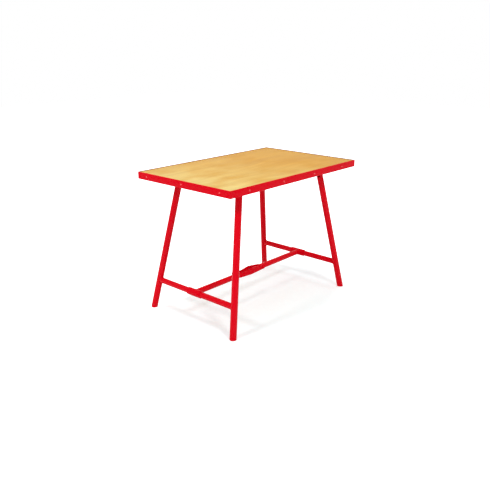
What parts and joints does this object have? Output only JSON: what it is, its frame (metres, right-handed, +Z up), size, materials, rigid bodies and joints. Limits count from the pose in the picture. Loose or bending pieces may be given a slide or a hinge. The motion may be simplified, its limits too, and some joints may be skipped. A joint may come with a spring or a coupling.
{
  "type": "folding workbench",
  "caption": "Folding installer workbench: a plywood worktop in a red angle-steel frame on splayed tube legs that swing in under it, with a brace and plunger lock between the leg frames.",
  "frame": {"origin": "on the floor, below the middle of the worktop", "axes": "+X along the long side of the worktop, +Y from the front to the back, +Z up"},
  "size_m": [1.105, 0.705, 0.817],
  "materials": {
    "red_enamel": "glossy red stoved enamel on steel tube and angle",
    "plywood": "oiled light plywood, satin",
    "zinc": "bright zinc plate",
    "black_plastic": "moulded, matt"
  },
  "bodies": {
    "top": {"worktop_board": "plywood", "front_rail": "red_enamel", "back_rail": "red_enamel", "left_rail": "red_enamel", "right_rail": "red_enamel", "front_screw_1": "red_enamel", "front_screw_2": "red_enamel", "front_screw_3": "red_enamel", "front_screw_4": "red_enamel", "back_screw_1": "red_enamel", "back_screw_2": "red_enamel", "back_screw_3": "red_enamel", "back_screw_4": "red_enamel", "left_screw_1": "red_enamel", "left_screw_2": "red_enamel", "left_screw_3": "red_enamel", "right_screw_1": "red_enamel", "right_screw_2": "red_enamel", "right_screw_3": "red_enamel", "left_front_bracket": "red_enamel", "left_back_bracket": "red_enamel", "right_front_bracket": "red_enamel", "right_back_bracket": "red_enamel", "left_front_pivot_pin": "red_enamel", "left_back_pivot_pin": "red_enamel", "right_front_pivot_pin": "red_enamel", "right_back_pivot_pin": "red_enamel"},
    "left_legs": {"left_front_leg": "red_enamel", "left_back_leg": "red_enamel", "left_front_collar": "red_enamel", "left_back_collar": "red_enamel", "left_front_foot_plate": "red_enamel", "left_back_foot_plate": "red_enamel", "left_cross_rail": "red_enamel"},
    "right_legs": {"right_front_leg": "red_enamel", "right_back_leg": "red_enamel", "right_front_collar": "red_enamel", "right_back_collar": "red_enamel", "right_front_foot_plate": "red_enamel", "right_back_foot_plate": "red_enamel", "right_cross_rail": "red_enamel"},
    "left_brace": {"left_brace_sleeve": "red_enamel", "left_brace": "red_enamel", "left_brace_cap": "red_enamel"},
    "right_brace": {"right_brace_sleeve": "red_enamel", "right_brace": "red_enamel", "right_brace_cap": "red_enamel"},
    "lock_link": {"front_link_plate": "red_enamel", "back_link_plate": "red_enamel", "link_hinge_bolt": "red_enamel", "link_hinge_nut": "red_enamel", "link_spacer": "zinc", "link_rivet": "red_enamel", "plunger_housing": "zinc"},
    "lock_pin": {"lock_plunger": "zinc", "lock_knob": "black_plastic"}
  },
  "joints": [
    {"name": "left_leg_fold", "type": "hinge", "parent": "top", "child": "left_legs", "pos_m": [-0.357, 0, 0.745], "axis": [0, -1, 0], "range_deg": [0, 101.35]},
    {"name": "left_brace_swing", "type": "hinge", "parent": "left_legs", "child": "left_brace", "pos_m": [-0.47272, 0, 0.1685], "axis": [0, -1, 0], "range_deg": [0, 78.65]},
    {"name": "right_leg_fold", "type": "hinge", "parent": "top", "child": "right_legs", "pos_m": [0.357, 0, 0.745], "axis": [0, 1, 0], "range_deg": [0, 82]},
    {"name": "right_brace_swing", "type": "hinge", "parent": "right_legs", "child": "right_brace", "pos_m": [0.47272, 0, 0.1685], "axis": [0, 1, 0], "range_deg": [0, 78.65]},
    {"name": "link_fold", "type": "hinge", "parent": "right_brace", "child": "lock_link", "pos_m": [0.09, 0, 0.1685], "axis": [0, -1, 0], "range_deg": [0, 160.65]},
    {"name": "plunger_slide", "type": "slide", "parent": "lock_link", "child": "lock_pin", "axis": [0, -1, 0], "range_m": [0, 0.007]}
  ],
  "couplings": [
    {"joint": "left_brace_swing", "follows": "left_leg_fold", "ratio": 0.776},
    {"joint": "right_brace_swing", "follows": "right_leg_fold", "ratio": 0.9591},
    {"joint": "link_fold", "follows": "right_leg_fold", "ratio": 1.9591}
  ]
}
